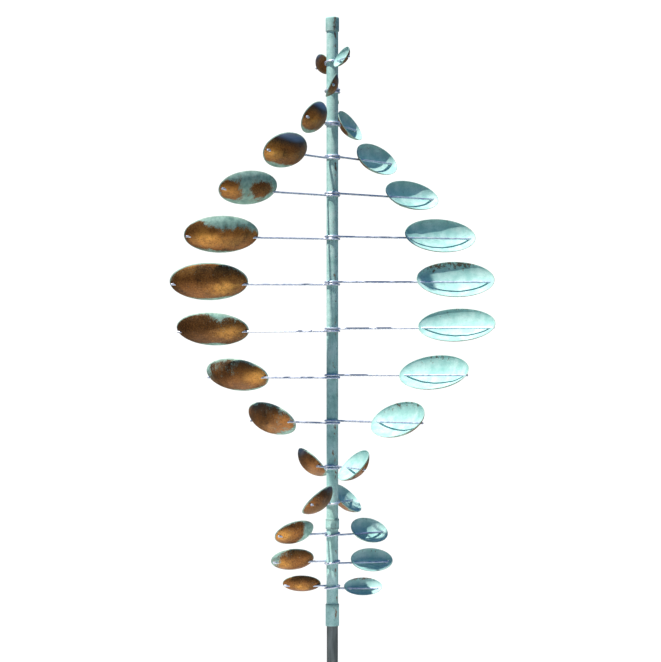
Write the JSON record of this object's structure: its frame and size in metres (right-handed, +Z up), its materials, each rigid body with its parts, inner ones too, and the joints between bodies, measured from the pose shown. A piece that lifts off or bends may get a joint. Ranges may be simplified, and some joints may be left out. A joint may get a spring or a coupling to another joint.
{
  "type": "vertical-axis wind spinner",
  "caption": "Vertical-axis wind rotor: pairs of oval dished copper cups on steel rods wrapped round a copper tube that turns on a spindle in a pipe mast.",
  "frame": {"origin": "centre of the mast's flat foot, on the rotor's axis", "axes": "+Z up along the mast and the rotor's axis; -Y is the side the widest pair of cups faces edge-on, with its arm along X"},
  "size_m": [0.614, 0.4156, 1.35],
  "materials": {
    "cup_copper": "aged copper sheet, brown and burnished outside, pale green verdigris inside",
    "tube_copper": "verdigris on copper tube, with brown spots",
    "rod_steel": "bright stainless rod",
    "mast_steel": "dark grey weathered steel",
    "spindle_steel": "drawn steel bar",
    "bronze": "turned bronze",
    "bush_nylon": "natural nylon"
  },
  "bodies": {
    "mast": {"mast": "mast_steel", "mast_foot_plug": "mast_steel", "mast_head": "bronze", "spindle": "spindle_steel", "pivot_ball": "spindle_steel"},
    "rotor": {"upper_tube": "tube_copper", "lower_tube": "tube_copper", "tube_coupling": "tube_copper", "top_cap": "tube_copper", "base_collar": "tube_copper", "pivot_plug": "bronze", "upper_bush": "bush_nylon", "lower_bush": "bush_nylon", "arm_01": "rod_steel", "arm_02": "rod_steel", "arm_03": "rod_steel", "arm_04": "rod_steel", "arm_05": "rod_steel", "arm_06": "rod_steel", "arm_07": "rod_steel", "arm_08": "rod_steel", "arm_09": "rod_steel", "arm_10": "rod_steel", "arm_11": "rod_steel", "arm_12": "rod_steel", "arm_13": "rod_steel", "arm_14": "rod_steel", "arm_15": "rod_steel", "cup_01_a": "cup_copper", "cup_01_b": "cup_copper", "cup_02_a": "cup_copper", "cup_02_b": "cup_copper", "cup_03_a": "cup_copper", "cup_03_b": "cup_copper", "cup_04_a": "cup_copper", "cup_04_b": "cup_copper", "cup_05_a": "cup_copper", "cup_05_b": "cup_copper", "cup_06_a": "cup_copper", "cup_06_b": "cup_copper", "cup_07_a": "cup_copper", "cup_07_b": "cup_copper", "cup_08_a": "cup_copper", "cup_08_b": "cup_copper", "cup_09_a": "cup_copper", "cup_09_b": "cup_copper", "cup_10_a": "cup_copper", "cup_10_b": "cup_copper", "cup_11_a": "cup_copper", "cup_11_b": "cup_copper", "cup_12_a": "cup_copper", "cup_12_b": "cup_copper", "cup_13_a": "cup_copper", "cup_13_b": "cup_copper", "cup_14_a": "cup_copper", "cup_14_b": "cup_copper", "cup_15_a": "cup_copper", "cup_15_b": "cup_copper"}
  },
  "joints": [
    {"name": "rotor_spin", "type": "hinge", "parent": "mast", "child": "rotor", "pos_m": [0, 0, 1.2], "axis": [0, 0, 1], "continuous": true}
  ]
}
